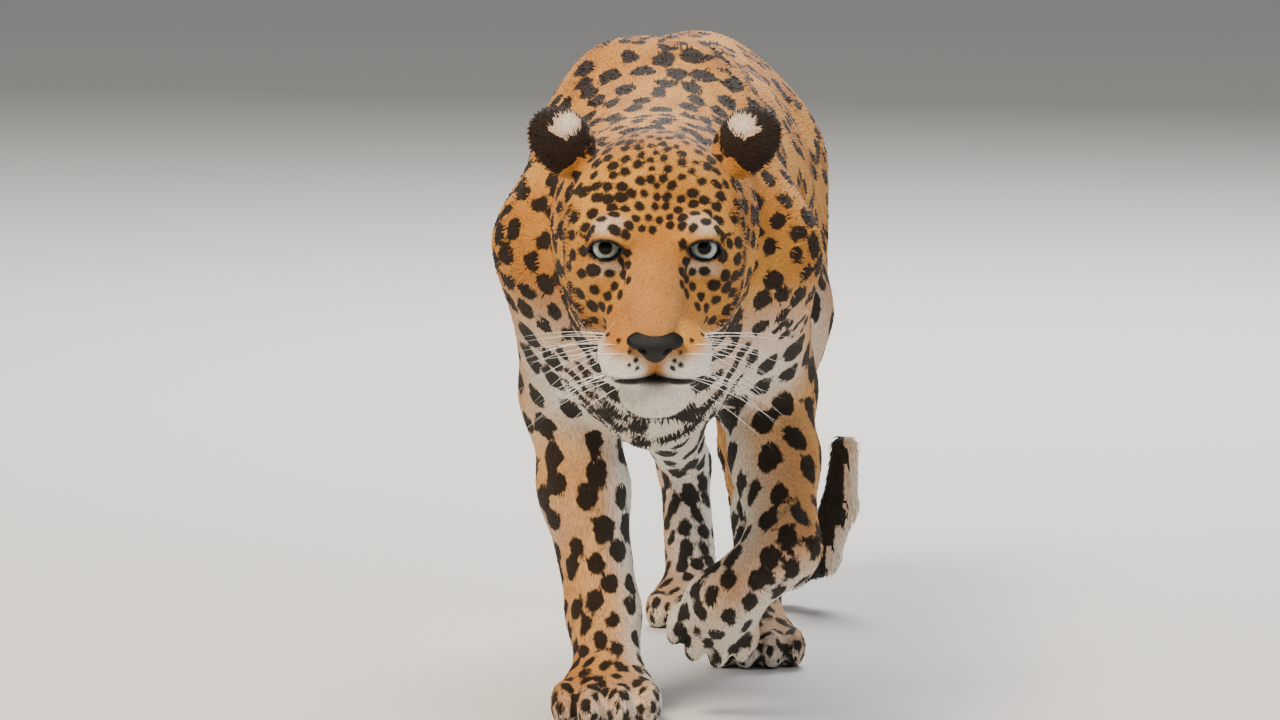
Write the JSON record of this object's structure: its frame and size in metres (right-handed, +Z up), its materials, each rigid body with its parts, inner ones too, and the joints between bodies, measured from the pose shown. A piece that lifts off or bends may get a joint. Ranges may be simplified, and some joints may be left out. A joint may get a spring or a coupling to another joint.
{
  "type": "leopard",
  "caption": "Life-size still model of a leopard walking with a fore paw lifted, standing on its own paws.",
  "frame": {"origin": "middle of the base of the bounding box, on the floor", "axes": "+Z up, the head at -Y, the animal's left at +X"},
  "size_m": [0.3604, 1.4614, 0.6458],
  "materials": {
    "coat": "short tawny fur with black spots and rosettes, cream to white below",
    "nose_leather": "damp bare black skin",
    "eye": "wet eye with a pale silver iris and a round black pupil",
    "whisker": "stiff white hair"
  },
  "bodies": {
    "root": {"torso": "coat", "neck": "coat", "head": "coat", "muzzle": "coat", "lower_jaw": "coat", "ear_left": "coat", "ear_right": "coat", "tail_base": "coat", "tail_middle": "coat", "tail_tip": "coat", "fore_right_upper_arm": "coat", "fore_right_forearm": "coat", "fore_right_paw": "coat", "fore_left_upper_arm": "coat", "fore_left_forearm": "coat", "fore_left_paw": "coat", "hind_right_thigh": "coat", "hind_right_shank": "coat", "hind_right_metatarsus": "coat", "hind_right_paw": "coat", "hind_left_thigh": "coat", "hind_left_shank": "coat", "hind_left_metatarsus": "coat", "hind_left_paw": "coat", "nose": "nose_leather", "eye_left": "eye", "eye_right": "eye"}
  },
  "joints": []
}
